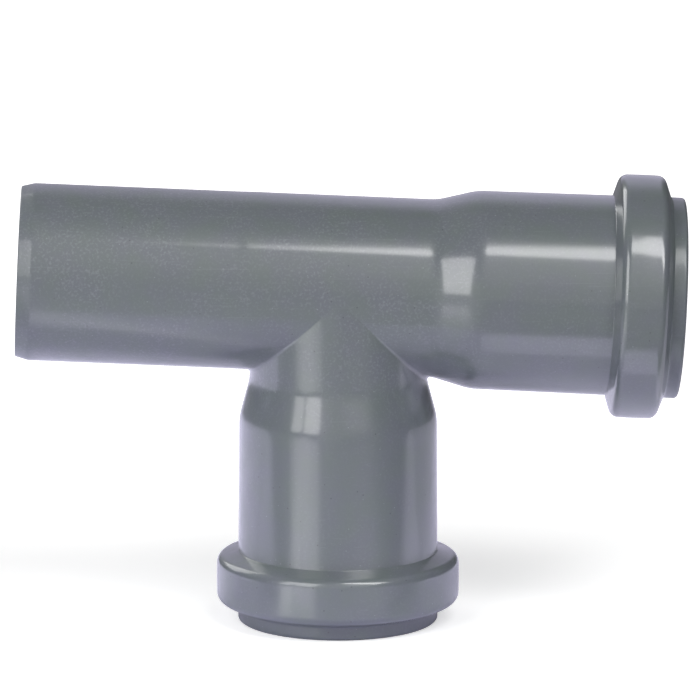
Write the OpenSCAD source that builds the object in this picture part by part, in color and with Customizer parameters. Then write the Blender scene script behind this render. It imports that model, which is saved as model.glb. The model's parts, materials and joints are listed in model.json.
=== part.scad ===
// Push-fit waste pipe tee: a plain spigot and a ring-seal socket in line, and a ring-seal branch
// socket that leans a little towards the run's socket so that the run drains past it.
// Millimetres. The tee stands on its branch mouth: +Z runs up the branch axis from the centre of
// that mouth, and +X points towards the run's socket.

/* [Pipe and angle] */
// Outside diameter of the waste pipe that the tee joins
pipe_d = 40; // [32:0.5:50]
// Angle between the branch and the run's socket, in degrees
branch_angle = 87.5; // [75:0.5:90]

/* [Spigot and body] */
// Length of the plain spigot that goes into the next fitting's socket, chamfer included
spigot_len = 49; // [30:0.5:80]
// Wall of the spigot
spigot_wall = 1.8; // [1.2:0.1:3]
// Length of the lead-in chamfer on the spigot's end
chamfer_len = 3; // [1:0.5:6]
// Angle of the lead-in chamfer, in degrees
chamfer_angle = 15; // [5:1:20]
// How much the body's radius exceeds the spigot's
body_rise = 0.05; // [0.05:0.05:1]
// Length over which the spigot rises to the body
rise_len = 2; // [1:0.5:5]
// Plain body left between the branch and the foot of that rise
body_margin = 1.25; // [0.5:0.25:10]

/* [Sockets] */
// Depth of a socket, from its mouth to the end of its taper
socket_depth = 47; // [40:0.5:70]
// Radial play between the pipe and the socket's bore
socket_play = 0.2; // [0.1:0.05:0.45]
// Wall of a socket at the end of its taper
socket_wall = 2.2; // [1.6:0.1:4]
// How much a socket's outer radius grows from its taper to its rim
socket_draft = 0.2; // [0.05:0.05:0.6]
// Plain neck left between the corner where the tubes meet and the start of a taper
neck_len = 0.75; // [0.5:0.05:10]
// Slope of the taper from the body up to the socket, in degrees
taper_angle = 15; // [10:1:30]
// How far the pipe stop inside lags behind the taper outside
stop_lag = 1.2; // [0.5:0.1:3]

/* [Seal chamber and rim] */
// Length of the mouth collar, from the mouth to the seal chamber
collar_len = 5.5; // [4.5:0.1:10]
// Radial play between the pipe and the mouth collar
collar_play = 0.6; // [0.5:0.05:1]
// Wall of the mouth collar
collar_wall = 2.1; // [1.6:0.1:3.5]
// Length of the seal chamber along its axis
chamber_len = 8.4; // [7.5:0.1:14]
// Depth of the seal chamber below the socket's bore
chamber_depth = 5; // [4:0.1:8]
// Wall outside the seal chamber
rim_wall = 2.25; // [1.6:0.05:4]
// Wall on either side of the seal chamber, where the rim meets the tube
rim_side_wall = 2.3; // [1.8:0.1:3.5]
// Lean of the rim's back shoulder from square, in degrees
back_lean = 18; // [5:1:25]
// Lean of the rim's front shoulder from square, in degrees
front_lean = 20; // [5:1:25]
// Rounding of the rim's two outer edges
rim_round = 2; // [0.5:0.1:2.5]
// Length of the flared entry in the mouth
entry_len = 1.2; // [0.6:0.1:2]
// Radial growth of the flared entry
entry_flare = 0.5; // [0.2:0.1:0.7]

/* [Lip seal] */
// Play between the seal ring and its chamber
seal_play = 0.15; // [0.05:0.05:0.3]
// Thickness of the seal ring's heel, which sits against the chamber's outer wall
heel_thick = 2; // [1:0.1:2.6]
// Thickness of the sealing lip at its root
lip_thick = 1.3; // [0.8:0.1:1.6]
// Thickness of the sealing lip at its tip
tip_thick = 0.6; // [0.4:0.1:0.8]
// Gap between the lip, drawn as an inserted pipe holds it, and the pipe
lip_gap = 0.05; // [0.05:0.01:0.15]
// Length of the lip along the axis
lip_len = 5.4; // [4:0.1:6.5]

/* [Hidden] */

// Facets of every round solid when it is drawn on screen
$fn = 96;
// Straight steps in each rounded corner of an outline
arc_steps = 6;
// Largest share of an edge that a rounded corner may take up
corner_share = 0.48;
// How far the hollow runs past the ends that it opens
overrun = 2;
// How far the plain bars of the crossing run past the corner where they meet
core_margin = 0.1;
// Rounding where the body turns into a taper, and where a taper turns into a socket
taper_foot_round = 2;
taper_head_round = 8;
// Rounding of the inner corner at the foot of the rim, and of the other small edges
root_round = 0.6;
edge_round = 0.3;
collar_edge_round = 0.8;
chamber_round = 0.8;
seal_round = 0.4;

// How far the run slopes down towards its socket when the branch stands upright
lean = 90 - branch_angle;

// Radii, from the pipe outwards
pipe_r = pipe_d / 2;
bore_r = pipe_r - spigot_wall;
body_r = pipe_r + body_rise;
socket_bore_r = pipe_r + socket_play;
socket_r = socket_bore_r + socket_wall;
socket_end_r = socket_r + socket_draft;
chamber_r = socket_bore_r + chamber_depth;
rim_r = chamber_r + rim_wall;
collar_bore_r = pipe_r + collar_play;
collar_r = collar_bore_r + collar_wall;
entry_r = collar_bore_r + entry_flare;
spigot_tip_r = pipe_r - chamfer_len * tan(chamfer_angle);

// Places along either tube, measured from the point where the two axes cross
inner_corner = body_r * tan(45 + lean / 2);
core_end = inner_corner + core_margin;
taper_start = inner_corner + neck_len;
taper_end = taper_start + (socket_r - body_r) / tan(taper_angle);
mouth = taper_end + socket_depth;
stop_start = taper_start + stop_lag;
stop_end = stop_start + (socket_bore_r - bore_r) / tan(taper_angle);
chamber_front = mouth - collar_len;
chamber_back = chamber_front - chamber_len;
rim_front = chamber_front + rim_side_wall;
rim_back = chamber_back - rim_side_wall;
rim_crown_back = rim_back + (rim_r - socket_end_r) * tan(back_lean);
rim_crown_front = rim_front - (rim_r - collar_r) * tan(front_lean);
rise_end = -(body_r + body_margin);
rise_start = rise_end - rise_len;
spigot_end = rise_start - spigot_len;

// The seal ring's own places and radii
heel_r = chamber_r - seal_play;
heel_in_r = heel_r - heel_thick;
seal_front = chamber_front - seal_play;
seal_back = chamber_back + seal_play;
tip_r = pipe_r + lip_gap;
tip_along = seal_front - lip_len;

// The unit vector from point a towards point b
function towards(a, b) = (b - a) / norm(b - a);

// The points of one rounded corner. before, corner and after are [radius, place along the axis].
function corner_arc(before, corner, after, r) =
    let (
        a = towards(corner, before),
        b = towards(corner, after),
        half = acos(max(-1, min(1, a * b))) / 2,
        room = corner_share * min(norm(before - corner), norm(after - corner)),
        t = min(r / tan(half), room),
        centre = corner + towards([0, 0], a + b) * t / cos(half),
        from_a = corner + a * t - centre,
        from_b = corner + b * t - centre,
        sweep = 180 - 2 * half
    )
    [for (i = [0 : arc_steps])
        let (f = i / arc_steps)
        centre + (from_a * sin((1 - f) * sweep) + from_b * sin(f * sweep)) / sin(sweep)];

// An outline with rounded corners, from corners given as [place along the axis, radius, rounding]
function rounded(corners) =
    let (last = len(corners) - 1, p = [for (c = corners) [c[1], c[0]]])
    [for (i = [0 : last]) each
        corners[i][2] == 0
            ? [p[i]]
            : corner_arc(p[i == 0 ? last : i - 1], p[i], p[i == last ? 0 : i + 1], corners[i][2])];

// The outside of the spigot, from its chamfered end to the body
spigot_outside = [
    [spigot_end, 0, 0],
    [spigot_end, spigot_tip_r, edge_round],
    [spigot_end + chamfer_len, pipe_r, 0],
    [rise_start, pipe_r, 0],
    [rise_end, body_r, 0],
    [rise_end, 0, 0]
];

// The outside of a socket, from the plain tube before its taper to its mouth
socket_outside = [
    [core_end, 0, 0],
    [core_end, body_r, 0],
    [taper_start, body_r, taper_foot_round],
    [taper_end, socket_r, taper_head_round],
    [rim_back, socket_end_r, root_round],
    [rim_crown_back, rim_r, rim_round],
    [rim_crown_front, rim_r, rim_round],
    [rim_front, collar_r, edge_round],
    [mouth, collar_r, collar_edge_round],
    [mouth, 0, 0]
];

// The inside of a socket, from the pipe stop out past the mouth
socket_inside = [
    [stop_start, 0, 0],
    [stop_start, bore_r, 0],
    [stop_end, socket_bore_r, 0],
    [chamber_back, socket_bore_r, 0],
    [chamber_back, chamber_r, chamber_round],
    [chamber_front, chamber_r, chamber_round],
    [chamber_front, collar_bore_r, edge_round],
    [mouth - entry_len, collar_bore_r, edge_round],
    [mouth + overrun, entry_r + overrun * entry_flare / entry_len, 0],
    [mouth + overrun, 0, 0]
];

// Places what is drawn along +Z from the crossing of the axes onto the run, socket end outwards
module along_run() {
    translate([0, 0, mouth]) rotate([0, 90 + lean, 0]) children();
}

// Places what is drawn along +Z from the crossing of the axes onto the branch, mouth downwards
module along_branch() {
    translate([0, 0, mouth]) rotate([180, 0, 0]) children();
}

// A solid of revolution from an outline of rounded corners
module turned(corners) {
    rotate_extrude() polygon(rounded(corners));
}

// A plain round bar along the axis, turned as the sockets are so that their end planes meet exactly
module bar(r, back, front) {
    turned([[back, 0, 0], [back, r, 0], [front, r, 0], [front, 0, 0]]);
}

// Two equal plain bars that cross, which meet in a pair of mitre lines
module crossing(r, back, front) {
    along_run() bar(r, back, front);
    along_branch() bar(r, 0, front);
}

// One moulding: the run and the branch as solids, hollowed out together so that their bores meet
module tee_body() {
    color("#70777b")
    difference() {
        union() {
            crossing(body_r, rise_end, core_end);
            along_run() turned(spigot_outside);
            along_run() turned(socket_outside);
            along_branch() turned(socket_outside);
        }
        union() {
            crossing(bore_r, spigot_end - overrun, stop_start);
            along_run() turned(socket_inside);
            along_branch() turned(socket_inside);
        }
    }
}

// Lip seal: a heel that fills the outer part of the chamber, and a lip that slants in from the
// front towards the pipe stop, so that the pipe goes in easily and water presses the lip shut
module lip_seal() {
    color("#1d1e20")
    turned([
        [seal_back, heel_r, seal_round],
        [seal_front, heel_r, seal_round],
        [seal_front, heel_in_r - lip_thick, seal_round],
        [tip_along, tip_r, edge_round],
        [tip_along, tip_r + tip_thick, edge_round],
        [seal_front - lip_thick, heel_in_r, edge_round],
        [seal_back, heel_in_r, seal_round]
    ]);
}

module run_seal() {
    along_run() lip_seal();
}

module branch_seal() {
    along_branch() lip_seal();
}

tee_body();
run_seal();
branch_seal();
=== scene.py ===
# %% [markdown]
# # A grey push-fit pipe tee
# The real thing is one moulding in grey polypropylene: a plain spigot on the left, a socket in line with
# it, and a second socket that hangs below and leans a little. Each socket hides a rubber lip ring in a
# raised rim. The solids give every size and place, so this lesson only gives the tee its skin: the soft
# corners of a moulding, its satin surface, and the light of a small product studio.

# %% Load the fixed frame
import json
import math

import bmesh
import bpy
import numpy as np
from mathutils import Matrix, Vector


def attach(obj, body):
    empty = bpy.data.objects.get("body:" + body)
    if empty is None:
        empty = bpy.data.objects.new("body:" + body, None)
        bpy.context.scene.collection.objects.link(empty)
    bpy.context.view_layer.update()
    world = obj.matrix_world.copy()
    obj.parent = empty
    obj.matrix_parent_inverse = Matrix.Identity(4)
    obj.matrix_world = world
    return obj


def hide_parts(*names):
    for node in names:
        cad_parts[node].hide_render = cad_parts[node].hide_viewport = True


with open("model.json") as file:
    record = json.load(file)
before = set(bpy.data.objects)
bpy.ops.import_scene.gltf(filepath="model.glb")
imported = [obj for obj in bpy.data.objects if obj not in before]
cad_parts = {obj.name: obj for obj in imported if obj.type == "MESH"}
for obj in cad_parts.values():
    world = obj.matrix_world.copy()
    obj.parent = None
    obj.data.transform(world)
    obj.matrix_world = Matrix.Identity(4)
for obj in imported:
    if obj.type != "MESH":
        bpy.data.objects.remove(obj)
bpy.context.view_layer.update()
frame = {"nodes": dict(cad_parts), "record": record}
print("solids in the frame:", ", ".join(sorted(frame["nodes"])))

# %% [markdown]
# ## The camera
# The photo was taken from almost square on and a little above, from far away with a long lens, because
# both ends of the run look equally large. A camera can be placed by hand in the viewport. Here it is
# worked out from an aim point, a distance and three angles, so that it can be checked and changed.

# %% Camera
MM = 0.001
PHOTO_PIXELS = 700
FOCAL_PIXELS = 7526.4
SENSOR_MM = 36.0
camera_aim = Vector((2.663, 0.0, 62.26)) * MM
camera_reach = 1703.0 * MM
camera_azimuth = math.radians(-1.204)
camera_elevation = math.radians(11.53)
camera_roll = math.radians(0.115)

scene = bpy.context.scene
scene.view_settings.view_transform = "Standard"

back = Vector((
    math.sin(camera_azimuth) * math.cos(camera_elevation),
    -math.cos(camera_azimuth) * math.cos(camera_elevation),
    math.sin(camera_elevation),
))
level = Vector((0, 0, 1)).cross(back).normalized()
upright = back.cross(level)
right = level * math.cos(camera_roll) + upright * math.sin(camera_roll)
camera_axes = Matrix((right, back.cross(right), back)).transposed()

camera = bpy.data.objects.new("camera", bpy.data.cameras.new("camera"))
camera.data.sensor_fit = "HORIZONTAL"
camera.data.sensor_width = SENSOR_MM
camera.data.lens = SENSOR_MM * FOCAL_PIXELS / PHOTO_PIXELS
camera.matrix_world = Matrix.Translation(camera_aim + back * camera_reach) @ camera_axes.to_4x4()
scene.collection.objects.link(camera)
scene.camera = camera
print(f"camera: {camera.data.lens:.0f} mm lens, {camera_reach:.2f} m away")

# %% [markdown]
# ## Sizes
# A pipe fitting is described by its pipe: 40 mm outside, with sockets a little wider. The record's mounts
# give the pipe's radius, the socket's radius and the two axes. The other sizes are those of the solids,
# in millimetres along each tube from the point where the axes cross. Working from few sizes keeps the
# skin on the solids when one of them changes.

# %% Sizes from the frame
mounts = {mount["name"]: mount for mount in frame["record"]["mounts"]}
pipe_r = mounts["spigot"]["dims"]["r_mm"]
socket_bore_r = mounts["run_socket"]["dims"]["r_mm"]
run_axis = np.array(mounts["run_socket"]["axis"])
branch_axis = np.array(mounts["branch_socket"]["axis"])
run_point = np.array(mounts["run_socket"]["pos_m"]) / MM
crossing = run_point - run_axis * run_point[0] / run_axis[0]
across = np.array((0.0, 1.0, 0.0))
under = np.cross(across, run_axis)
aside = np.cross(branch_axis, across)
lean = math.asin(run_axis @ branch_axis)

print(f"axes cross {crossing[2]:.2f} mm up, and the run slopes {math.degrees(lean):.2f} degrees")

# %% [markdown]
# ## Walls and places
# A moulder thinks in walls: how thick the plastic is, how much play the pipe has, how far the stop lies
# behind the taper. Measured radii could be typed in one by one. Adding walls to the pipe's radius is
# better, because a change of one wall then moves everything outside it.

# %% Radii
SPIGOT_WALL = 1.8
BODY_RISE = 0.05
SOCKET_WALL = 2.2
SOCKET_DRAFT = 0.2
CHAMBER_DEPTH = 5.0
RIM_WALL = 2.25
COLLAR_PLAY = 0.6
COLLAR_WALL = 2.1
ENTRY_FLARE = 0.5

bore_r = pipe_r - SPIGOT_WALL
body_r = pipe_r + BODY_RISE
socket_r = socket_bore_r + SOCKET_WALL
socket_end_r = socket_r + SOCKET_DRAFT
chamber_r = socket_bore_r + CHAMBER_DEPTH
rim_r = chamber_r + RIM_WALL
collar_bore_r = pipe_r + COLLAR_PLAY
collar_r = collar_bore_r + COLLAR_WALL
entry_r = collar_bore_r + ENTRY_FLARE
print(f"radii: pipe {pipe_r}, socket {socket_r:.2f}, rim {rim_r:.2f} mm")

# %% [markdown]
# ## Places along the tubes
# On the bench every place on the tee is read off along a tube: where the taper starts, where the rim
# stands, how deep the pipe goes. They could be typed in as read. Here each is worked out from the one
# before it, starting at the corner where the two tubes meet, so that the gaps between them stay right.

# %% Places along the tubes
TAPER_DEGREES = 15
NECK_LEN = 0.75
STOP_LAG = 1.2
COLLAR_LEN = 5.5
CHAMBER_LEN = 8.4
RIM_SIDE_WALL = 2.3
BACK_LEAN_DEGREES = 18
FRONT_LEAN_DEGREES = 20
BODY_MARGIN = 1.25
RISE_LEN = 2.0
SPIGOT_LEN = 49.0

near_slope = math.tan(math.pi / 4 + lean / 2)
far_slope = math.tan(math.pi / 4 - lean / 2)
taper_slope = math.tan(math.radians(TAPER_DEGREES))
mouth = crossing[2]
taper_start = body_r * near_slope + NECK_LEN
taper_end = taper_start + (socket_r - body_r) / taper_slope
stop_start = taper_start + STOP_LAG
stop_end = stop_start + (socket_bore_r - bore_r) / taper_slope
chamber_front = mouth - COLLAR_LEN
chamber_back = chamber_front - CHAMBER_LEN
rim_front = chamber_front + RIM_SIDE_WALL
rim_back = chamber_back - RIM_SIDE_WALL
rim_crown_back = rim_back + (rim_r - socket_end_r) * math.tan(math.radians(BACK_LEAN_DEGREES))
rim_crown_front = rim_front - (rim_r - collar_r) * math.tan(math.radians(FRONT_LEAN_DEGREES))
rise_end = body_r + BODY_MARGIN
rise_start = rise_end + RISE_LEN
spigot_end = rise_start + SPIGOT_LEN
print(f"socket: taper from {taper_start:.1f} to {taper_end:.1f} mm, mouth at {mouth:.1f} mm")

# %% [markdown]
# ## An outline with rounded corners
# Nothing on a moulding is perfectly sharp, and the rounded edges are what catches the light. An outline
# is a short list of corners, each with its own rounding. A Bevel modifier could round the edges of a
# finished mesh, but then every edge gets a like width. Rounding the outline first gives each edge its
# own radius, from 90 mm over the crown of a rim to 0.2 mm at the spigot's end. A point is kept close on
# either side of every arc, so that smooth shading doesn't spread the bend over the flat beside it.

# %% Rounded outline
DEGREES_PER_STEP = 9
LEAST_STEPS = 5
HOLD = 0.25
HOLD_SHARE = 1 / 3
CORNER_SHARE = 0.48


def rounded_outline(corners):
    """A line of (along, radius) points from corners given as (along, radius, rounding)."""
    places = np.array([corner[:2] for corner in corners], float)
    points = [places[0]]
    for before, here, after, corner in zip(places, places[1:], places[2:], corners[1:-1]):
        rounding = corner[2]
        if rounding == 0:
            points.append(here)
            continue
        to_before = before - here
        to_after = after - here
        room = CORNER_SHARE * min(np.linalg.norm(to_before), np.linalg.norm(to_after))
        to_before /= np.linalg.norm(to_before)
        to_after /= np.linalg.norm(to_after)
        half = math.acos(np.clip(to_before @ to_after, -1, 1)) / 2
        tangent = min(rounding / math.tan(half), room)
        middle = to_before + to_after
        centre = here + middle / np.linalg.norm(middle) * tangent / math.cos(half)
        first = here + to_before * tangent - centre
        last = here + to_after * tangent - centre
        sweep = math.pi - 2 * half
        steps = max(LEAST_STEPS, math.ceil(math.degrees(sweep) / DEGREES_PER_STEP))
        hold = min(HOLD, (room / CORNER_SHARE - tangent) * HOLD_SHARE)
        points.append(here + to_before * (tangent + hold))
        for part in np.linspace(0, 1, steps + 1):
            spoke = (first * math.sin((1 - part) * sweep) + last * math.sin(part * sweep)) / math.sin(sweep)
            points.append(centre + spoke)
        points.append(here + to_after * (tangent + hold))
    points.append(places[-1])
    return np.array(points)


def divided(outline, longest):
    """The same line with every stretch cut into parts no longer than the given length."""
    points = [outline[0]]
    for start, end in zip(outline, outline[1:]):
        parts = max(1, math.ceil(np.linalg.norm(end - start) / longest))
        points.extend(start + (end - start) * part / parts for part in range(1, parts + 1))
    return np.array(points)


print("outline helpers ready")

# %% [markdown]
# ## The outlines of the tubes
# Cut along its axis, a socket shows one closed wall: out along the taper and the tube, over the raised
# rim, round the mouth, and back inside through the chamber for the seal down to the stop that the pipe
# comes up against. Each face could be a cylinder or a cone of its own, but then they would have to be
# joined. One line that goes out on the outside and comes back on the inside needs no joining.

# %% Socket outline
LONGEST_ROW = 4.0
TAPER_FOOT = 12.0
TAPER_HEAD = 14.0
RIM_ROOT = 0.2
RIM_ROUND = 2.0
CROWN_BULGE = 0.08
CROWN_ROUND = 90.0
COLLAR_ROOT = 0.5
COLLAR_EDGE = 0.9
SMALL_EDGE = 0.3
CHAMBER_ROUND = 0.8
STOP_ROUND = 0.5
ENTRY_LEN = 1.2

socket_outline = rounded_outline([
    (0.0, body_r, 0),
    (taper_start, body_r, TAPER_FOOT),
    (taper_end, socket_r, TAPER_HEAD),
    (rim_back, socket_end_r, RIM_ROOT),
    (rim_crown_back, rim_r, RIM_ROUND),
    ((rim_crown_back + rim_crown_front) / 2, rim_r + CROWN_BULGE, CROWN_ROUND),
    (rim_crown_front, rim_r, RIM_ROUND),
    (rim_front, collar_r, COLLAR_ROOT),
    (mouth, collar_r, COLLAR_EDGE),
    (mouth, entry_r, SMALL_EDGE),
    (mouth - ENTRY_LEN, collar_bore_r, SMALL_EDGE),
    (chamber_front, collar_bore_r, SMALL_EDGE),
    (chamber_front, chamber_r, CHAMBER_ROUND),
    (chamber_back, chamber_r, CHAMBER_ROUND),
    (chamber_back, socket_bore_r, SMALL_EDGE),
    (stop_end, socket_bore_r, STOP_ROUND),
    (stop_start, bore_r, STOP_ROUND),
    (0.0, bore_r, 0),
])
print(f"socket wall: {len(socket_outline)} points")

# %% [markdown]
# ## The spigot
# The spigot is the tee's own piece of pipe: a plain wall with a lead-in chamfer, which slides past the
# next fitting's seal without cutting it. A cylinder with a cut end would be close, but the soft corner
# above the chamfer is what shows as a pale ring in the photo.

# %% Spigot outline
RISE_ROUND = 2.0
CHAMFER_LEN = 3.0
CHAMFER_ROUND = 3.0
BORE_END = 0.2

tip_radius = pipe_r - CHAMFER_LEN * taper_slope
spigot_outline = rounded_outline([
    (0.0, body_r, 0),
    (rise_end, body_r, RISE_ROUND),
    (rise_start, pipe_r, RISE_ROUND),
    (spigot_end - CHAMFER_LEN, pipe_r, CHAMFER_ROUND),
    (spigot_end, tip_radius, SMALL_EDGE),
    (spigot_end, bore_r, BORE_END),
    (0.0, bore_r, 0),
])
print(f"spigot wall: {len(spigot_outline)} points")

# %% [markdown]
# ## The crossing of the tubes
# Two tubes of one size meet in a V-shaped seam. On the moulding that seam has a small fillet, and it
# shows as a thin bright line. A Boolean modifier would join two finished tubes, but it leaves a ragged
# row of long triangles just where the light catches. Instead a ball is rolled along the corner in
# thought: its centre keeps one ball's radius away from both tubes, so where it touches each tube is
# known, and the fillet is the arc between the two touches. Every tube is a sheet of rows and columns
# that starts at those touches, and all sheets share their columns, so the mesh closes by itself.

# %% Tube sheets
COLUMNS = 160
FREE_ROWS = 20
BORE_ROWS = 8
LINED_UP = 14.0
NEAR_ZERO = 1e-9
around = np.arange(COLUMNS) * 2 * math.pi / COLUMNS
cosine = np.cos(around)
cosine[np.abs(cosine) < NEAR_ZERO] = 0.0
sine = np.sin(around)


def ball_reach(slope_here, slope_behind, ball_distance):
    """How far along a tube the rolling ball touches it, for every column."""
    return ball_distance * np.where(cosine > 0, slope_here, slope_behind) * np.abs(cosine)


def on_tube(tube, along, radius):
    """Points in millimetres on a tube, for every column, from places along it and radii."""
    facing = cosine[:, None] * tube["facing"] + sine[:, None] * across
    return crossing + along[:, None] * tube["axis"] + np.broadcast_to(radius, along.shape)[:, None] * facing


def tube_rows(tube, outer_start, inner_start):
    """All rows of one tube, from the touch outside, over the mouth, to the touch inside."""
    line = tube["outline"]
    tip = int(np.argmax(line[:, 0]))
    outside, inside = line[:tip + 1], line[tip:]
    rows = []
    for part in np.arange(FREE_ROWS) / FREE_ROWS:
        along = tube["outer_touch"] + (outer_start - tube["outer_touch"]) * part
        if part > 0:
            along = np.maximum(along, outer_start - LINED_UP * (1 - part))
        rows.append(on_tube(tube, along, np.interp(along, outside[:, 0], outside[:, 1])))
    kept_outside = outside[outside[:, 0] > outer_start]
    kept_inside = inside[inside[:, 0] > inner_start]
    first = (outer_start, np.interp(outer_start, outside[:, 0], outside[:, 1]))
    kept = divided(np.vstack([[first], kept_outside, kept_inside, [(inner_start, bore_r)]]), LONGEST_ROW)
    for along, radius in kept:
        rows.append(on_tube(tube, np.full(COLUMNS, along), radius))
    for part in np.arange(1, BORE_ROWS + 1) / BORE_ROWS:
        along = inner_start + (tube["inner_touch"] - inner_start) * part
        rows.append(on_tube(tube, along, bore_r))
    return np.array(rows)


FILLET = 1.0
BORE_EDGE = 0.5
outer_ball = body_r + FILLET
inner_ball = bore_r + BORE_EDGE
tubes = {
    "socket": {"axis": run_axis, "facing": under, "slopes": (near_slope, 0.0), "outline": socket_outline},
    "spigot": {"axis": -run_axis, "facing": under, "slopes": (far_slope, 0.0), "outline": spigot_outline},
    "branch": {"axis": branch_axis, "facing": aside, "slopes": (near_slope, far_slope),
               "outline": socket_outline},
}
TAPER_CLEAR = 2.6
RISE_CLEAR = 1.0
STOP_CLEAR = 0.5
for name, tube in tubes.items():
    tube["outer_touch"] = ball_reach(*tube["slopes"], outer_ball)
    tube["inner_touch"] = ball_reach(*tube["slopes"], inner_ball)
    start = rise_start + RISE_CLEAR if name == "spigot" else taper_start + TAPER_CLEAR
    tube["rows"] = tube_rows(tube, start, stop_start - STOP_CLEAR)
    print(f"{name}: {len(tube['rows'])} rows of {COLUMNS} points")

# %% [markdown]
# ## The rounded seam
# A mould maker leaves a small radius where the run and the branch meet, because a sharp corner cracks.
# A Bevel modifier on the seam would change its width as the angle between the tubes changes. The rolling
# ball keeps one radius all the way, and fades out by itself where the tubes run into each other.

# %% Fillets between the run and the branch
FILLET_STEPS = 8


def turned_between(start, end, part):
    """A unit vector part of the way round from one to the other, for lists of unit vectors."""
    angle = np.arccos(np.clip((start * end).sum(1), -1, 1))[:, None]
    safe = np.where(angle < NEAR_ZERO, 1.0, np.sin(angle))
    turned = (start * np.sin((1 - part) * angle) + end * np.sin(part * angle)) / safe
    return np.where(angle < NEAR_ZERO, start, turned)


def fillet_rows(run_tube, mirrored, inner):
    """Rows of the rounded seam from a run tube's touch to the branch's, for the half that faces it."""
    half = np.arange(-COLUMNS // 4, COLUMNS // 4 + 1) % COLUMNS
    matching = (COLUMNS // 2 - half) % COLUMNS if mirrored else half
    row = -1 if inner else 0
    radius, ball = (bore_r, BORE_EDGE) if inner else (body_r, FILLET)
    run_out = cosine[half, None] * run_tube["facing"] + sine[half, None] * across
    branch = tubes["branch"]
    branch_out = cosine[matching, None] * branch["facing"] + sine[matching, None] * across
    start = run_tube["rows"][row][half]
    end = branch["rows"][row][matching]
    touch = run_tube["inner_touch" if inner else "outer_touch"][half]
    centre = crossing + touch[:, None] * run_tube["axis"] + (radius + ball) * run_out
    start_push = start - (centre - ball * run_out)
    end_push = end - (centre - ball * branch_out)
    rows = []
    for part in np.linspace(0, 1, FILLET_STEPS + 1):
        arc = centre - ball * turned_between(run_out, branch_out, part)
        rows.append(arc + start_push * (1 - part) + end_push * part)
    return np.array(rows)


seams = [
    fillet_rows(tubes[name], mirrored, inner)
    for name, mirrored in (("socket", False), ("spigot", True))
    for inner in (False, True)
]
print(f"{len(seams)} rounded seams, {FILLET} mm outside and {BORE_EDGE} mm inside")

# %% [markdown]
# ## The moulding as one closed mesh
# The sheets and seams become faces, points that fall together are merged, and the normals are turned
# outwards. A Remesh modifier would close the mesh as well, but would blunt every edge. The result is one
# watertight skin with an inside and an outside, as the real moulding is.

# %% Body mesh
MERGE_M = 1e-6
CM3_PER_M3 = 1e6
SHARP_DEGREES = 40


def sheet_faces(rows, closed, first_point):
    """Quads between neighbouring rows, joined round the ring where the sheet is closed."""
    height, width = rows.shape[:2]
    numbers = first_point + np.arange(height * width).reshape(height, width)
    if closed:
        numbers = np.hstack([numbers, numbers[:, :1]])
    corners = (numbers[:-1, :-1], numbers[:-1, 1:], numbers[1:, 1:], numbers[1:, :-1])
    return np.stack(corners, axis=-1).reshape(-1, 4)


points = []
faces = []
for rows, closed in [(tube["rows"], True) for tube in tubes.values()] + [(seam, False) for seam in seams]:
    faces.extend(sheet_faces(rows, closed, sum(len(part) for part in points)).tolist())
    points.append(rows.reshape(-1, 3) * MM)

body_mesh = bpy.data.meshes.new("tee_moulding")
body_mesh.from_pydata(np.vstack(points).tolist(), [], faces)
shell = bmesh.new()
shell.from_mesh(body_mesh)
bmesh.ops.remove_doubles(shell, verts=shell.verts, dist=MERGE_M)
bmesh.ops.recalc_face_normals(shell, faces=shell.faces)
open_edges = sum(not edge.is_manifold for edge in shell.edges)
volume_cm3 = shell.calc_volume() * CM3_PER_M3
shell.to_mesh(body_mesh)
shell.free()
body_mesh.shade_smooth()
body_mesh.set_sharp_from_angle(angle=math.radians(SHARP_DEGREES))
body = bpy.data.objects.new("tee_moulding", body_mesh)
scene.collection.objects.link(body)
print(f"moulding: {len(body_mesh.polygons)} faces, {open_edges} open edges, {volume_cm3:.2f} cm3")

# %% [markdown]
# ## The lip seals
# Inside each rim sits a rubber ring with a slanting lip. It is one small section swept round a circle, so
# a Geometry Nodes tree makes it: the section is drawn as a closed curve, and Curve to Mesh carries it
# round a Curve Circle. The Spin operator would do as well, but with the tree the ring's radius and
# fineness stay plain numbers that can be changed, and both rings come from the one tree.

# %% Lip seal section
SEAL_PLAY = 0.15
HEEL_THICK = 2.0
LIP_THICK = 1.3
TIP_THICK = 0.6
LIP_GAP = 0.05
LIP_LEN = 5.4
SEAL_ROUND = 0.4

heel_r = chamber_r - SEAL_PLAY
heel_in_r = heel_r - HEEL_THICK
seal_front = chamber_front - SEAL_PLAY
seal_back = chamber_back + SEAL_PLAY
tip_r = pipe_r + LIP_GAP
tip_along = seal_front - LIP_LEN
heel_back_middle = (seal_back, (heel_r + heel_in_r) / 2, 0)
seal_section = rounded_outline([
    heel_back_middle,
    (seal_back, heel_r, SEAL_ROUND),
    (seal_front, heel_r, SEAL_ROUND),
    (seal_front, heel_in_r - LIP_THICK, SEAL_ROUND),
    (tip_along, tip_r, SMALL_EDGE),
    (tip_along, tip_r + TIP_THICK, SMALL_EDGE),
    (seal_front - LIP_THICK, heel_in_r, SMALL_EDGE),
    (seal_back, heel_in_r, SEAL_ROUND),
    heel_back_middle,
])[:-1]
print(f"seal section: {len(seal_section)} points")

# %% [markdown]
# ## A tree that sweeps the ring
# A rubber ring is moulded as a section turned round an axis, and the tree does the same. Its inputs are
# the section, the radius, the fineness and the place. One helper adds a node and fills in its inputs, and
# the materials use it too. An input that is given a node takes that node's first output.

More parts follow.
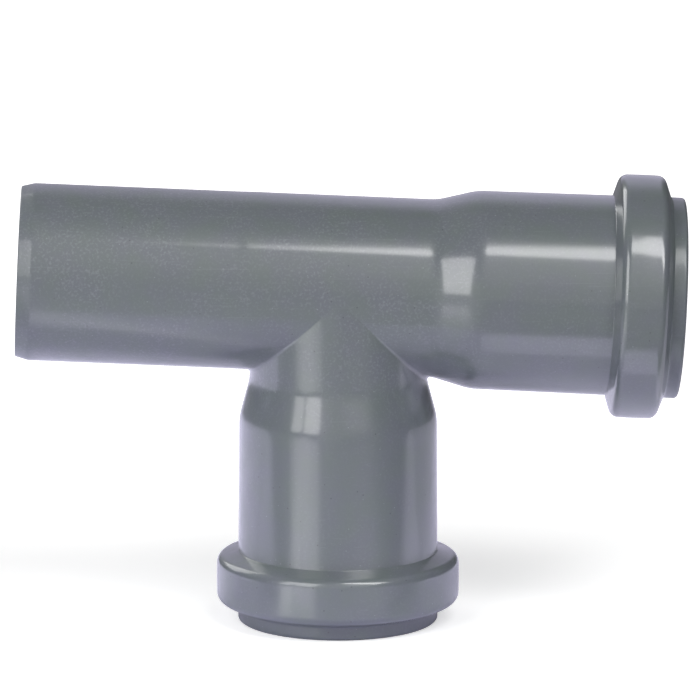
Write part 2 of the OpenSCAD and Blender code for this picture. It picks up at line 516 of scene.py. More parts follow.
# %% Lip seal tree
def add_node(tree, kind, inputs=None, **settings):
    """Adds a node, sets its own settings, and sets each input or links it to a socket or a node."""
    node = tree.nodes.new(kind)
    for name, value in settings.items():
        setattr(node, name, value)
    for name, value in (inputs or {}).items():
        if isinstance(value, bpy.types.Node):
            value = value.outputs[0]
        if isinstance(value, bpy.types.NodeSocket):
            tree.links.new(value, node.inputs[name])
        else:
            node.inputs[name].default_value = value
    return node


seal_tree = bpy.data.node_groups.new("lip_seal_ring", "GeometryNodeTree")
seal_inputs = {
    name: seal_tree.interface.new_socket(name=name, in_out="INPUT", socket_type=kind)
    for name, kind in (
        ("Section", "NodeSocketGeometry"),
        ("Ring radius", "NodeSocketFloat"),
        ("Steps around", "NodeSocketInt"),
        ("Turn", "NodeSocketVector"),
        ("Place", "NodeSocketVector"),
        ("Rubber", "NodeSocketMaterial"),
    )
}
seal_tree.interface.new_socket(name="Ring", in_out="OUTPUT", socket_type="NodeSocketGeometry")
given = add_node(seal_tree, "NodeGroupInput").outputs
circle = add_node(seal_tree, "GeometryNodeCurvePrimitiveCircle",
                  {"Resolution": given["Steps around"], "Radius": given["Ring radius"]})
sweep = add_node(seal_tree, "GeometryNodeCurveToMesh",
                 {"Curve": circle, "Profile Curve": given["Section"]})
placed = add_node(seal_tree, "GeometryNodeTransform",
                  {"Geometry": sweep, "Translation": given["Place"], "Rotation": given["Turn"]})
realized = add_node(seal_tree, "GeometryNodeRealizeInstances", {"Geometry": placed})
rubbered = add_node(seal_tree, "GeometryNodeSetMaterial",
                    {"Geometry": realized, "Material": given["Rubber"]})
add_node(seal_tree, "NodeGroupOutput", {"Ring": rubbered})
print(f"lip seal tree: {len(seal_tree.nodes)} nodes")

# %% [markdown]
# ## Colours
# Colours are picked on screen as sRGB values, but light adds up in linear values, and that is what a
# shader's sockets take. One function turns the one into the other. Layers of colour could be painted in
# one picture, but here a Mix node lays one over another. It has sockets of one name for several kinds of
# value, so those for colours go by number.

# %% Colour helpers
SRGB_KNEE = 0.04045
SRGB_SLOPE = 12.92
SRGB_OFFSET = 0.055
SRGB_POWER = 2.4
MIX_SHARE = 0
MIX_UNDER = 6
MIX_OVER = 7
MIXED = 2


def linear(hex_colour):
    """The linear RGBA of an sRGB colour such as 707680."""
    colour = []
    for start in (0, 2, 4):
        channel = int(hex_colour[start:start + 2], 16) / 255
        if channel <= SRGB_KNEE:
            colour.append(channel / SRGB_SLOPE)
        else:
            colour.append(((channel + SRGB_OFFSET) / (1 + SRGB_OFFSET)) ** SRGB_POWER)
    return colour + [1.0]


def new_material(name):
    """A material without any shader yet, its tree, and the tree's socket for the place on the piece."""
    material = bpy.data.materials.new(name)
    material.use_nodes = True
    tree = material.node_tree
    tree.nodes.clear()
    place = add_node(tree, "ShaderNodeTexCoord").outputs["Object"]
    return material, tree, place


print("mid grey in linear values:", [round(channel, 3) for channel in linear("70767B")[:3]])

# %% [markdown]
# ## Patterns in plastic
# No moulding is evenly grey: the pigment clouds, dust sticks to it and handling scratches it. A painted
# picture could hold all this, but patterns measured in millimetres need no unwrapping and stay in scale.
# Two small helpers make them: soft clouds, and dots.

# %% Plastic patterns
NOISE_LOW = 0.35
NOISE_HIGH = 0.65
NOISE_DETAIL = 2.0
DOT_FADE = 0.6


def cloud(tree, place, size_mm, low=NOISE_LOW, high=NOISE_HIGH, least=0.0, most=1.0, detail=NOISE_DETAIL):
    """Soft blotches about as large as the size given, which go from least to most."""
    noise = add_node(tree, "ShaderNodeTexNoise",
                     {"Vector": place, "Scale": 1 / (size_mm * MM), "Detail": detail})
    return add_node(tree, "ShaderNodeMapRange", {
        "Value": noise, "From Min": low, "From Max": high, "To Min": least, "To Max": most})


def dots(tree, place, spacing_mm, radius_mm, most):
    """Small round dots that lie about one spacing apart in space, so few of them meet the skin."""
    cells = add_node(tree, "ShaderNodeTexVoronoi", {"Vector": place, "Scale": 1 / (spacing_mm * MM)})
    edge = radius_mm / spacing_mm
    return add_node(tree, "ShaderNodeMapRange", {
        "Value": cells, "From Min": edge, "From Max": edge * DOT_FADE, "To Max": most})


print("pattern helpers ready")

# %% [markdown]
# ## The grey of the plastic
# The grey is a pigment stirred into the plastic, so it drifts a little between green and blue, with a few
# dark specks of pigment and pale specks of dust. One flat grey would look like paint. Two greys mixed by a
# soft cloud, and two sorts of dots, stay below what one notices and still look like plastic.

# %% Grey of the plastic
GREY_GREEN = linear("6B7374")
GREY_BLUE = linear("6C7178")
GREY_CLOUD_MM = 7
FLECK = linear("2E3134")
FLECK_SPACING_MM = 3.4
FLECK_RADIUS_MM = 0.22
FLECK_SHARE = 0.4
DUST = linear("A4A9AC")
DUST_SPACING_MM = 2.2
DUST_RADIUS_MM = 0.14
DUST_SHARE = 0.5


def cloudy_grey(tree, place, mottle, scratched):
    """Grey that drifts between green and blue, under a pale mottle, flecks, dust and scratches."""
    drift = cloud(tree, place, GREY_CLOUD_MM)
    fleck = dots(tree, place, FLECK_SPACING_MM, FLECK_RADIUS_MM, FLECK_SHARE)
    dust = dots(tree, place, DUST_SPACING_MM, DUST_RADIUS_MM, DUST_SHARE)
    layers = ((drift, GREY_BLUE), (mottle, DUST), (fleck, FLECK), (dust, DUST), (scratched, DUST))
    grey = GREY_GREEN
    for share, colour in layers:
        mix = {MIX_SHARE: share, MIX_UNDER: grey, MIX_OVER: colour}
        grey = add_node(tree, "ShaderNodeMix", mix, data_type="RGBA").outputs[MIXED]
    return grey


print(f"grey clouds of {GREY_CLOUD_MM} mm, flecks every {FLECK_SPACING_MM} mm")

# %% [markdown]
# ## Marks of handling
# The run has been handled more than the branch: a fine pale grain clouds its skin in patches, and hairline
# scratches lie along it. Both could be painted on. Here noise draws them, stretched far along the run for
# the scratches. The real grain and scratches are finer than a pixel of the picture, so both are drawn as
# coarse as they need to show.

# %% Marks of handling
GRAIN_MM = 0.55
GRAIN_FROM = 0.50
GRAIN_FULL = 0.72
PATCH_MM = 14
PATCH_LOW = 0.4
PATCH_HIGH = 0.6
MOTTLE_LEAST = 0.09
MOTTLE_MOST = 0.24
MOTTLE_UP_TO = 110 * MM
MOTTLE_FULL = 10 * MM
BRANCH_UP_TO = 45 * MM
RUN_FROM = 62 * MM
BRANCH_MOTTLE = 0.3
HAIR_STRETCH = (0.02, 1.0, 1.0)
HAIR_MM = 0.35
HAIR_FROM = 0.74
HAIR_FULL = 0.80


def pale_mottle(tree, place, axis, grain):
    """How far the pale grain covers the grey: in patches, and more on the run than on the branch."""
    handled = add_node(tree, "ShaderNodeMapRange", {
        "Value": axis["Z"], "From Min": BRANCH_UP_TO, "From Max": RUN_FROM, "To Min": BRANCH_MOTTLE})
    mottled = add_node(tree, "ShaderNodeMapRange", {
        "Value": axis["X"], "From Min": MOTTLE_UP_TO, "From Max": MOTTLE_FULL, "To Max": handled})
    patches = cloud(tree, place, PATCH_MM, PATCH_LOW, PATCH_HIGH, MOTTLE_LEAST, MOTTLE_MOST)
    most = add_node(tree, "ShaderNodeMath", {0: patches, 1: mottled}, operation="MULTIPLY")
    return add_node(tree, "ShaderNodeMapRange", {
        "Value": grain, "From Min": GRAIN_FROM, "From Max": GRAIN_FULL, "To Max": most})


def hairlines(tree, place):
    """Thin scratches along the run."""
    stretched = add_node(tree, "ShaderNodeMapping", {"Vector": place, "Scale": HAIR_STRETCH})
    return cloud(tree, stretched, HAIR_MM, HAIR_FROM, HAIR_FULL, detail=0.0)


print(f"grain of {GRAIN_MM} mm in patches of {PATCH_MM} mm, scratches {HAIR_MM} mm wide")

# %% [markdown]
# ## Bright and dull skin
# Polypropylene comes out of a polished mould with a bright skin, so the sockets mirror the lamps with
# crisp edges. The spigot is duller, as are its end and the socket's collar, which rub on other pipes. One
# roughness for all would be simpler, but the eye takes the change along the run for use.

# %% Bright and dull skin
BRIGHT_FROM = 6 * MM
DULL_UP_TO = -44 * MM
BRIGHT_SKIN = 0.32
DULL_SKIN = 0.44
BRIGHT_COAT = 0.95
DULL_COAT = 0.5
BRIGHT_GRAIN = 0.02
DULL_GRAIN = 0.15
COLLAR_COAT = 0.25
COLLAR_FROM = 73 * MM
COLLAR_FULL = 74.5 * MM
END_COAT = 0.2
END_FROM = -66 * MM
END_FULL = -70 * MM


def worn_skin(tree, axis):
    """Roughness, clear coat and strength of the grain, bright on the sockets and dull on the spigot."""
    skin, coat, grain_strength = (
        add_node(tree, "ShaderNodeMapRange", {
            "Value": axis["X"], "From Min": BRIGHT_FROM, "From Max": DULL_UP_TO,
            "To Min": bright, "To Max": dull})
        for bright, dull in ((BRIGHT_SKIN, DULL_SKIN), (BRIGHT_COAT, DULL_COAT), (BRIGHT_GRAIN, DULL_GRAIN))
    )
    for start, full, least in ((COLLAR_FROM, COLLAR_FULL, COLLAR_COAT), (END_FROM, END_FULL, END_COAT)):
        rubbed = add_node(tree, "ShaderNodeMapRange", {
            "Value": axis["X"], "From Min": start, "From Max": full, "To Min": 1.0, "To Max": least})
        coat = add_node(tree, "ShaderNodeMath", {0: coat, 1: rubbed}, operation="MINIMUM")
    return skin, coat, grain_strength


print(f"skin roughness: {BRIGHT_SKIN} on the sockets, {DULL_SKIN} on the spigot")

# %% [markdown]
# ## Grey polypropylene
# The finish puts these together. The crisp mirror is a clear coat over a softer skin, as on real plastic,
# whose skin is smoother than its inside. Two shaders could be mixed for that, but one Principled shader
# has both layers and shares the light between them.

# %% Grey polypropylene
PP_IOR = 1.49
COAT_IOR = 1.6
COAT_SKIN = 0.13
WEAR_MM = 4
WEAR = 0.03
HAIR_PALER = 0.07
HAIR_ROUGHER = 0.08
GRAIN_DEPTH = 0.02 * MM


def moulded_polypropylene():
    """Cloudy grey plastic with hairline scratches, bright on the sockets and dull along the spigot."""
    material, tree, place = new_material("moulded_grey_polypropylene")
    axis = add_node(tree, "ShaderNodeSeparateXYZ", {"Vector": place}).outputs
    grain = cloud(tree, place, GRAIN_MM, low=0.0, high=1.0)
    mottle = pale_mottle(tree, place, axis, grain)
    scratches = hairlines(tree, place)
    scratched = add_node(tree, "ShaderNodeMath", {0: scratches, 1: HAIR_PALER}, operation="MULTIPLY")

    skin, coat, grain_strength = worn_skin(tree, axis)
    wear = cloud(tree, place, WEAR_MM, least=-WEAR, most=WEAR)
    uneven = add_node(tree, "ShaderNodeMath", {0: skin, 1: wear}, operation="ADD")
    roughness = add_node(tree, "ShaderNodeMath", {0: scratches, 1: HAIR_ROUGHER, 2: uneven},
                         operation="MULTIPLY_ADD")
    bump = add_node(tree, "ShaderNodeBump",
                    {"Height": grain, "Strength": grain_strength, "Distance": GRAIN_DEPTH})
    plastic = add_node(tree, "ShaderNodeBsdfPrincipled", {
        "Base Color": cloudy_grey(tree, place, mottle, scratched),
        "Roughness": roughness,
        "IOR": PP_IOR,
        "Coat Weight": coat,
        "Coat Roughness": COAT_SKIN,
        "Coat IOR": COAT_IOR,
        "Normal": bump,
    })
    add_node(tree, "ShaderNodeOutputMaterial", {"Surface": plastic})
    return material


polypropylene = moulded_polypropylene()
body_mesh.materials.append(polypropylene)
print("body finish:", polypropylene.name)

# %% [markdown]
# ## Black rubber
# The lip rings are moulded in a soft black rubber with a dull skin and a faint grey bloom, so in the mouths
# they show as dark bands with a soft sheen. A flat black would do for a ring that is half hidden, but then
# its lip couldn't be told from its heel. The real grain is finer, and is drawn coarser so that it shows.

# %% Black rubber
RUBBER_DARK = linear("1B1C1E")
RUBBER_BLOOM = linear("262729")
BLOOM_MM = 7
RUBBER_GRAIN_MM = 0.4
RUBBER_GRAIN = 0.15
RUBBER_GRAIN_DEPTH = 0.05 * MM
RUBBER_ROUGHNESS = 0.55
RUBBER_IOR = 1.52


def moulded_rubber():
    """Dull black rubber with a fine grain."""
    material, tree, place = new_material("moulded_black_rubber")
    bloom = cloud(tree, place, BLOOM_MM)
    mix = {MIX_SHARE: bloom, MIX_UNDER: RUBBER_DARK, MIX_OVER: RUBBER_BLOOM}
    black = add_node(tree, "ShaderNodeMix", mix, data_type="RGBA").outputs[MIXED]
    grain = cloud(tree, place, RUBBER_GRAIN_MM, low=0.0, high=1.0)
    bump = add_node(tree, "ShaderNodeBump",
                    {"Height": grain, "Strength": RUBBER_GRAIN, "Distance": RUBBER_GRAIN_DEPTH})
    skin = add_node(tree, "ShaderNodeBsdfPrincipled", {
        "Base Color": black,
        "Roughness": RUBBER_ROUGHNESS,
        "IOR": RUBBER_IOR,
        "Normal": bump,
    })
    add_node(tree, "ShaderNodeOutputMaterial", {"Surface": skin})
    return material


rubber = moulded_rubber()
print("seal finish:", rubber.name)

# %% [markdown]
# ## The rings in place
# Each ring sits in its chamber with a little play all round. A modifier could stay on the object, but a
# plain mesh travels better, so the tree's result is kept and the drawn section is thrown away.

# %% Lip seal rings
SEAL_STEPS = 128


def lip_seal(name, axis, facing):
    """One rubber ring in place, made by the tree and turned into a plain mesh."""
    section = bpy.data.curves.new(name + "_section", "CURVE")
    section.dimensions = "3D"
    line = section.splines.new("POLY")
    line.points.add(len(seal_section) - 1)
    for point, (along, radius) in zip(line.points, seal_section):
        point.co = ((radius - heel_r) * MM, -along * MM, 0, 1)
    line.use_cyclic_u = True
    drawing = bpy.data.objects.new(name + "_section", section)
    scene.collection.objects.link(drawing)
    turn = Matrix((facing, np.cross(axis, facing), axis)).transposed().to_euler()
    sizes = {"Ring radius": heel_r * MM, "Steps around": SEAL_STEPS, "Turn": turn[:],
             "Place": (crossing * MM).tolist(), "Rubber": rubber}
    modifier = drawing.modifiers.new("lip_seal_ring", "NODES")
    modifier.node_group = seal_tree
    for size, value in sizes.items():
        modifier[seal_inputs[size].identifier] = value
    ready = drawing.evaluated_get(bpy.context.evaluated_depsgraph_get())
    mesh = bpy.data.meshes.new_from_object(ready)
    mesh.name = name
    bpy.data.objects.remove(drawing)
    mesh.shade_smooth()
    mesh.set_sharp_from_angle(angle=math.radians(SHARP_DEGREES))
    ring = bpy.data.objects.new(name, mesh)
    scene.collection.objects.link(ring)
    return ring


seals = {
    "run_seal": lip_seal("run_lip_ring", run_axis, under),
    "branch_seal": lip_seal("branch_lip_ring", branch_axis, aside),
}
for node, ring in seals.items():
    print(f"{ring.name}: {len(ring.data.polygons)} faces for {node}")

# %% [markdown]
# ## The floor
# The photo has a plain white ground. What the tee mirrors tells more: it stood on a white sheet that ends
# a hand's breadth in front of it, with a darker polished table beyond. A plain white floor would be
# simpler, but then the dark middle and the pale edges of the branch are lost. The camera sees the whole
# floor white, with the tee's shadow on it. Every other ray sees the sheet and the table.

# %% Floor
FLOOR_HALF = 4.0
floor_mesh = bpy.data.meshes.new("floor")
corners = [(x * FLOOR_HALF, y * FLOOR_HALF, 0) for x, y in ((-1, -1), (1, -1), (1, 1), (-1, 1))]
floor_mesh.from_pydata(corners, [], [(0, 1, 2, 3)])
floor = bpy.data.objects.new("floor", floor_mesh)
scene.collection.objects.link(floor)
print(f"floor: {2 * FLOOR_HALF:.0f} m square")

# %% [markdown]
# ## Where the sheet lies
# The sheet's front edge is straight before the tee and turns back beyond the sockets. A second plane could
# be cut to that shape, but its hard edge would show in every mirrored band. A rule for how far behind the
# edge a place lies gives a soft one.

# %% Sheet's edge
SHEET_FRONT = -104 * MM
SHEET_SIDE = -40 * MM
SHEET_STRAIGHT = 78 * MM
SHEET_TURN = 3.0


def sheet_reach(tree, axis):
    """How far behind the front edge of the sheet a place lies, in metres."""
    sideways = add_node(tree, "ShaderNodeMath", {0: axis["X"]}, operation="ABSOLUTE")
    beyond = SHEET_STRAIGHT + (SHEET_SIDE - SHEET_FRONT) / SHEET_TURN
    edge = add_node(tree, "ShaderNodeMapRange", {
        "Value": sideways, "From Min": SHEET_STRAIGHT, "From Max": beyond,
        "To Min": SHEET_FRONT, "To Max": SHEET_SIDE})
    return add_node(tree, "ShaderNodeMath", {0: axis["Y"], 1: edge}, operation="SUBTRACT")


print(f"sheet: front edge {-SHEET_FRONT / MM:.0f} mm before the branch")

# %% [markdown]
# ## How the sheet shines
# The sheet glows with painted light, most in a strip along its edge beside the branch and behind the tee
# on the left, and painted shade lies round the tee's foot. Small lamps could stand for this, but they would
# throw light where none belongs. Here it is a rule for the place on the sheet.

# %% Sheet's glow
SHEET_EDGE = 8 * MM
SHEET_GLOW = 0.3
STRIP_DEPTH = 53 * MM
STRIP_FADE = 3 * MM
STRIP_INSIDE = 34 * MM
STRIP_GLOW = 1.0
BACK_FROM = -20 * MM
BACK_FULL = 30 * MM
BACK_GLOW = 0.85
SHADE_INSIDE = 25 * MM
SHADE_OUTSIDE = 60 * MM
TABLE_HALF = 50 * MM


def sheet_glow(tree, axis, reach):
    """The sheet's painted light, most in the strip at its edge and behind the tee on the left."""
    sideways, lengthways = (
        add_node(tree, "ShaderNodeMath", {0: axis[name]}, operation="ABSOLUTE") for name in ("X", "Y")
    )
    beside = add_node(tree, "ShaderNodeMapRange", {
        "Value": sideways, "From Min": STRIP_INSIDE - SHEET_EDGE, "From Max": STRIP_INSIDE,
        "To Min": SHEET_GLOW, "To Max": STRIP_GLOW})
    strip = add_node(tree, "ShaderNodeMapRange", {
        "Value": reach, "From Min": STRIP_DEPTH + STRIP_FADE, "From Max": STRIP_DEPTH, "To Max": beside})
    left = add_node(tree, "ShaderNodeMapRange", {
        "Value": axis["X"], "From Min": 0.0, "From Max": -TABLE_HALF,
        "To Min": SHEET_GLOW, "To Max": BACK_GLOW})
    back = add_node(tree, "ShaderNodeMapRange", {
        "Value": axis["Y"], "From Min": BACK_FROM, "From Max": BACK_FULL, "To Max": left})
    glow = SHEET_GLOW
    for brighter in (strip, back):
        glow = add_node(tree, "ShaderNodeMath", {0: brighter, 1: glow}, operation="MAXIMUM")
    # Painted shade round the tee's foot: the painted light fades out close to it.
    away = add_node(tree, "ShaderNodeMath", {0: sideways, 1: lengthways}, operation="ADD")
    return add_node(tree, "ShaderNodeMapRange", {
        "Value": away, "From Min": SHADE_INSIDE, "From Max": SHADE_OUTSIDE, "To Max": glow})


print(f"sheet's strip: {STRIP_DEPTH / MM:.0f} mm deep")

# %% [markdown]
# ## How the table shines
# The table glows with painted window light, most on the left, and a painted reflection of the window lies
# on it as a long pale streak, which the branch shows as its light band. A smoother table would mirror the
# window by itself, but everything else with it. So the table's light is a rule too, and the streak is a
# wedge that points at the tee.

# %% Table's glow
TABLE_GLOW_LEFT = 0.85
TABLE_GLOW_RIGHT = 0.3
TABLE_FADE = -220 * MM
TABLE_END = -1000 * MM
TABLE_FAR = 0.7
TABLE_SPREAD = 0.15
STREAK_LEAN = 0.9
STREAK_HALF = 0.34
STREAK_GLOW = 1.25
POLISH_BACK = -22 * MM
POLISH_FRONT = -45 * MM


def table_glow(tree, axis, mirrored):
    """How brightly the table's painted light shines: more on the left and near the tee, and most in
    mirrors.
    """
    glow = add_node(tree, "ShaderNodeMapRange", {
        "Value": axis["X"], "From Min": -TABLE_HALF, "From Max": TABLE_HALF,
        "To Min": TABLE_GLOW_LEFT, "To Max": TABLE_GLOW_RIGHT})
    near = add_node(tree, "ShaderNodeMapRange", {
        "Value": axis["Y"], "From Min": TABLE_END, "From Max": TABLE_FADE, "To Min": TABLE_FAR})
    seen = add_node(tree, "ShaderNodeMapRange", {"Value": mirrored, "To Min": TABLE_SPREAD})
    for share in (near, seen):
        glow = add_node(tree, "ShaderNodeMath", {0: glow, 1: share}, operation="MULTIPLY")
    return glow


def painted_window_reflection(tree, axis, mirrored):
    """How brightly the window's painted reflection shines on the floor in front, as other surfaces mirror
    it.
    """
    ratio = add_node(tree, "ShaderNodeMath", {0: axis["X"], 1: axis["Y"]}, operation="DIVIDE")
    off_line = add_node(tree, "ShaderNodeMath", {0: ratio, 1: STREAK_LEAN}, operation="SUBTRACT")
    off_line = add_node(tree, "ShaderNodeMath", {0: off_line}, operation="ABSOLUTE")
    streak = add_node(tree, "ShaderNodeMapRange", {
        "Value": off_line, "From Min": STREAK_HALF, "From Max": 0.0, "To Max": STREAK_GLOW})
    in_front = add_node(tree, "ShaderNodeMapRange", {
        "Value": axis["Y"], "From Min": POLISH_BACK, "From Max": POLISH_FRONT, "To Max": streak})
    return add_node(tree, "ShaderNodeMath", {0: in_front, 1: mirrored}, operation="MULTIPLY")


print(f"table: {TABLE_GLOW_LEFT} bright on the left, {TABLE_GLOW_RIGHT} on the right")

# %% [markdown]
# ## Paper, paint and painted glow
# Paper is matt, and so is most of what the table shows. Two planes with two materials could do this, but
# their edge would be hard. One matt layer goes from the sheet's colour and painted glow to the table's,
# dims with painted shade on the right, dims far behind, and shows the camera plain white that keeps the
# tee's shadow.

# %% Paper and paint
SHEET_WHITE = linear("E9E6FF")
SHEET_LIT_TO = 90 * MM
SHEET_DIM_FROM = 150 * MM
SHEET_DIM = 0.55
SHEET_BACK = 330 * MM
SHEET_GONE = 480 * MM
BEHIND_DIM = 0.15
TABLE_GREY = linear("5E5E66")
TABLE_LIGHT = linear("F4F6F0")
CAMERA_WHITE = linear("F2F2F2")
CAMERA_LIFT = 0.6
FAR_LIFT = 1.0
FAR_FROM = 100 * MM
FAR_FULL = 400 * MM


def paper_paint_and_painted_glow(tree, axis, camera_ray, mirrored):
    """The matt layer: the sheet's and the table's colour and painted glow, and plain white to the camera.
    """
    reach = sheet_reach(tree, axis)
    # Painted shade: on the right the sheet turns part way to the table's colour and glow.
    dimmed = add_node(tree, "ShaderNodeMapRange", {
        "Value": axis["X"], "From Min": SHEET_DIM_FROM, "From Max": SHEET_LIT_TO, "To Min": SHEET_DIM})
    sheet_laid_and_shaded = add_node(tree, "ShaderNodeMapRange", {
        "Value": reach, "From Min": -SHEET_EDGE, "From Max": SHEET_EDGE, "To Max": dimmed})
    behind = add_node(tree, "ShaderNodeMapRange", {
        "Value": axis["Y"], "From Min": SHEET_BACK, "From Max": SHEET_GONE,
        "To Min": 1.0, "To Max": BEHIND_DIM})
    sheet_share_and_shade = add_node(tree, "ShaderNodeMath", {0: sheet_laid_and_shaded, 1: behind}, operation="MULTIPLY")
    colours = []
    for colour in (TABLE_GREY, TABLE_LIGHT):
        for share, over in ((sheet_share_and_shade, SHEET_WHITE), (camera_ray, CAMERA_WHITE)):
            mix = {MIX_SHARE: share, MIX_UNDER: colour, MIX_OVER: over}
            colour = add_node(tree, "ShaderNodeMix", mix, data_type="RGBA").outputs[MIXED]
        colours.append(colour)

    # The table's and the sheet's painted glow, mixed by the sheet's share.
    off_sheet_glow = table_glow(tree, axis, mirrored)
    on_sheet_glow = sheet_glow(tree, axis, reach)
    glow = add_node(tree, "ShaderNodeMapRange", {
        "Value": sheet_share_and_shade, "To Min": off_sheet_glow, "To Max": on_sheet_glow})
    glow = add_node(tree, "ShaderNodeMath", {0: glow, 1: behind}, operation="MULTIPLY")
    shown = add_node(tree, "ShaderNodeMapRange", {
        "Value": axis["Y"], "From Min": FAR_FROM, "From Max": FAR_FULL,
        "To Min": CAMERA_LIFT, "To Max": FAR_LIFT})
    # The camera gets the lift that makes the floor white, every other ray the painted glow.
    lift = add_node(tree, "ShaderNodeMapRange", {"Value": camera_ray, "To Min": glow, "To Max": shown})
    paint = add_node(tree, "ShaderNodeBsdfDiffuse", {"Color": colours[0]})
    light = add_node(tree, "ShaderNodeEmission", {"Color": colours[1], "Strength": lift})
    return add_node(tree, "ShaderNodeAddShader", {0: paint, 1: light})


print("matt layer ready")

# %% [markdown]
# ## The floor's finish
# A polished table mirrors more the flatter one looks along it. A mirror of even strength would be simpler,
# but would show under the tee as well as far away. So a Fresnel node sets its strength, only in front, and
# only for rays that come from another surface.

# %% Floor finish
TABLE_IOR = 1.45
TABLE_MIRROR = linear("DCDCDC")
TABLE_ROUGHNESS = 0.28
DULL_BELOW = 0.04
POLISHED_FROM = 0.32
POLISH = 0.8


def sheet_and_table():
    """White to the camera. To other rays a white sheet, and a grey table that mirrors at low angles."""
    material, tree, place = new_material("white_sheet_on_polished_table")
    rays = add_node(tree, "ShaderNodeLightPath").outputs
    axis = add_node(tree, "ShaderNodeSeparateXYZ", {"Vector": place}).outputs
    mirrored = add_node(tree, "ShaderNodeMath", {0: rays["Is Glossy Ray"], 1: rays["Is Transmission Ray"]},
                        operation="MAXIMUM")
    matt = paper_paint_and_painted_glow(tree, axis, rays["Is Camera Ray"], mirrored)

    sheen = add_node(tree, "ShaderNodeFresnel", {"IOR": TABLE_IOR})
    polish = add_node(tree, "ShaderNodeMapRange", {
        "Value": sheen, "From Min": DULL_BELOW, "From Max": POLISHED_FROM, "To Max": POLISH})
    for start, full in ((POLISH_BACK, POLISH_FRONT), (TABLE_END, TABLE_FADE)):
        polish = add_node(tree, "ShaderNodeMapRange", {
            "Value": axis["Y"], "From Min": start, "From Max": full, "To Max": polish})
    share = add_node(tree, "ShaderNodeMath", {0: polish, 1: mirrored}, operation="MULTIPLY")
    mirror = {"Color": TABLE_MIRROR, "Roughness": TABLE_ROUGHNESS}
    gloss = add_node(tree, "ShaderNodeBsdfAnisotropic", mirror)
    both = add_node(tree, "ShaderNodeMixShader", {0: share, 1: matt, 2: gloss})
    # A painted reflection of the window, given as an emission for mirroring rays.
    streak = add_node(tree, "ShaderNodeEmission", {"Strength": painted_window_reflection(tree, axis, mirrored)})
    lit = add_node(tree, "ShaderNodeAddShader", {0: both, 1: streak})
    add_node(tree, "ShaderNodeOutputMaterial", {"Surface": lit})
    return material


floor_mesh.materials.append(sheet_and_table())
print("floor finish:", floor_mesh.materials[0].name)

# %% [markdown]
# ## The room
# Straight behind the tee hangs a pale backdrop with a cool tint, which the top and the curved edges mirror.
# The corners of the room are dark, its front and ceiling dim, and a bounced light glows softly above on the
# right. A photo of a room wrapped round the scene would do this too, but a rule for the direction is
# smaller and can be read. The camera sees plain white.

# %% Room
BACKDROP = linear("C8C4DC")
BACKDROP_HALF = 0.25
BACKDROP_EDGE = 0.1
BACKDROP_TOP = 0.86
BACKDROP_FADE = 0.60
FRONT = linear("C2C2C0")
CORNER = linear("4A4A4C")
FRONT_UP_TO = -0.85
CORNER_FROM = -0.65
CEILING = linear("4C4C4C")
CEILING_FROM = 0.7
WALL_UP_TO = 0.4
BOUNCE_WAY = (0.31, -0.77, 0.56)
BOUNCE_EDGE = 0.91
BOUNCE_MIDDLE = 0.99
WHITE = linear("FFFFFF")

world = bpy.data.worlds.new("studio")
scene.world = world
world.use_nodes = True
studio = world.node_tree
studio.nodes.clear()
rays = add_node(studio, "ShaderNodeLightPath").outputs
way = add_node(studio, "ShaderNodeTexCoord").outputs["Generated"]
axis = add_node(studio, "ShaderNodeSeparateXYZ", {"Vector": way}).outputs
cornered = add_node(studio, "ShaderNodeMapRange", {
    "Value": axis["Y"], "From Min": FRONT_UP_TO, "From Max": CORNER_FROM})
overhead = add_node(studio, "ShaderNodeMapRange", {
    "Value": axis["Z"], "From Min": WALL_UP_TO, "From Max": CEILING_FROM})
nearness = add_node(studio, "ShaderNodeVectorMath", {0: way, 1: BOUNCE_WAY}, operation="DOT_PRODUCT")
bounced = add_node(studio, "ShaderNodeMapRange", {
    "Value": nearness.outputs["Value"], "From Min": BOUNCE_EDGE, "From Max": BOUNCE_MIDDLE})
mirrored = add_node(studio, "ShaderNodeMath", {0: rays["Is Glossy Ray"], 1: rays["Is Transmission Ray"]},
                    operation="MAXIMUM")
below_top = add_node(studio, "ShaderNodeMapRange", {
    "Value": axis["Z"], "From Min": BACKDROP_TOP, "From Max": BACKDROP_FADE, "To Max": mirrored})
sideways = add_node(studio, "ShaderNodeMath", {0: axis["X"]}, operation="ABSOLUTE")
half = add_node(studio, "ShaderNodeMath", {0: axis["Y"], 1: BACKDROP_HALF}, operation="MULTIPLY")
outside = add_node(studio, "ShaderNodeMath", {0: sideways, 1: half}, operation="SUBTRACT")
backdrop = add_node(studio, "ShaderNodeMapRange", {
    "Value": outside, "From Min": BACKDROP_EDGE, "From Max": -BACKDROP_EDGE, "To Max": below_top})
colour = FRONT
for share, over in (
    (cornered, CORNER),
    (overhead, CEILING),
    (bounced, WHITE),
    (backdrop, BACKDROP),
    (rays["Is Camera Ray"], WHITE),
):
    mix = {MIX_SHARE: share, MIX_UNDER: colour, MIX_OVER: over}
    colour = add_node(studio, "ShaderNodeMix", mix, data_type="RGBA").outputs[MIXED]
room = add_node(studio, "ShaderNodeBackground", {"Color": colour})
add_node(studio, "ShaderNodeOutputWorld", {"Surface": room})
print(f"room: {len(studio.nodes)} nodes")

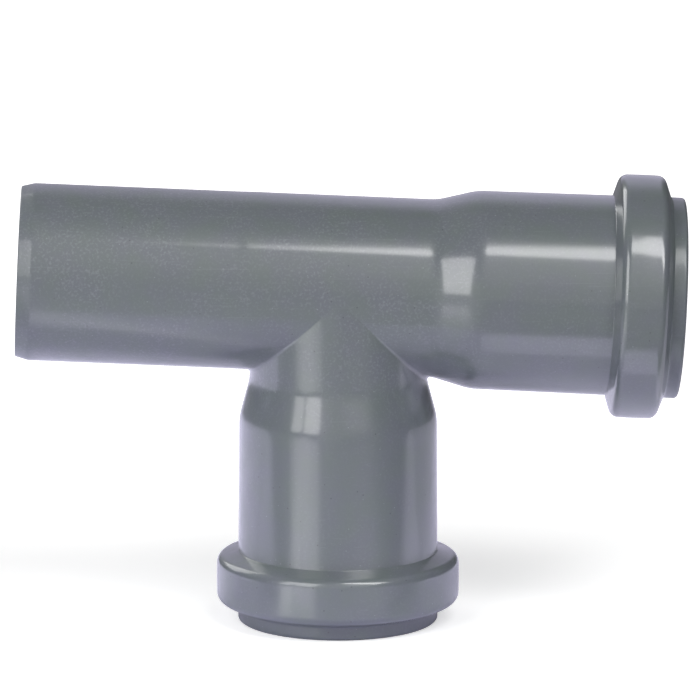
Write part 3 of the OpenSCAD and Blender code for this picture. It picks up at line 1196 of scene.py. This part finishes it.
# %% [markdown]
# ## The lamps
# The highlights give the lamps away: a tall window with two panes on the left, a window further back that
# only the rims catch, and a wide soft box above on the right. Each is an area lamp, placed by the
# direction and the angles that it fills when seen from the tee, because that is what a mirrored patch
# shows. Point lamps would be simpler, but the skin would show them as dots. A lamp's power follows from
# how bright its face is.

# %% Lamps
LAMP_REACH = 1.4


def soft_lamp(name, azimuth, elevation, roll, wide, tall, brightness):
    """A rectangular lamp that faces the tee. Angles are in degrees, and a brightness of 1 is white."""
    level_turn = math.radians(azimuth)
    height = math.sin(math.radians(elevation))
    flat = math.cos(math.radians(elevation))
    way = Vector((math.sin(level_turn) * flat, -math.cos(level_turn) * flat, height))
    lamp = bpy.data.lights.new(name, "AREA")
    lamp.shape = "RECTANGLE"
    lamp.size = 2 * LAMP_REACH * math.tan(math.radians(wide / 2))
    lamp.size_y = 2 * LAMP_REACH * math.tan(math.radians(tall / 2))
    lamp.energy = brightness * math.pi * lamp.size * lamp.size_y
    holder = bpy.data.objects.new(name, lamp)
    turn = way.to_track_quat("Z", "Y").to_matrix() @ Matrix.Rotation(math.radians(roll), 3, "Z")
    holder.matrix_world = Matrix.Translation(Vector(crossing) * MM + way * LAMP_REACH) @ turn.to_4x4()
    scene.collection.objects.link(holder)
    print(f"{name}: {lamp.size:.2f} by {lamp.size_y:.2f} m, {lamp.energy:.1f} W")


soft_lamp("window_left_pane", azimuth=-51, elevation=26, roll=0, wide=13, tall=42, brightness=3.6)
soft_lamp("window_right_pane", azimuth=-32.5, elevation=26, roll=0, wide=19, tall=42, brightness=3.8)
soft_lamp("far_window", azimuth=-138, elevation=31, roll=0, wide=34, tall=30, brightness=2.4)
soft_lamp("overhead_box", azimuth=32.8, elevation=48.5, roll=35, wide=18, tall=36, brightness=6.5)

# %% [markdown]
# ## Handing the pieces over
# Each piece stands for its solid and rides on the one body. Parents
# set by hand would look the same here, but these calls also hide the solid that each piece replaces.

# %% Hand over
for node, piece, finish in (
    ("tee_body", body, "grey_polypropylene"),
    ("run_seal", seals["run_seal"], "black_rubber"),
    ("branch_seal", seals["branch_seal"], "black_rubber"),
):
    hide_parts(node)
    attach(piece, "root")
    print(f"{piece.name} stands for {node}")
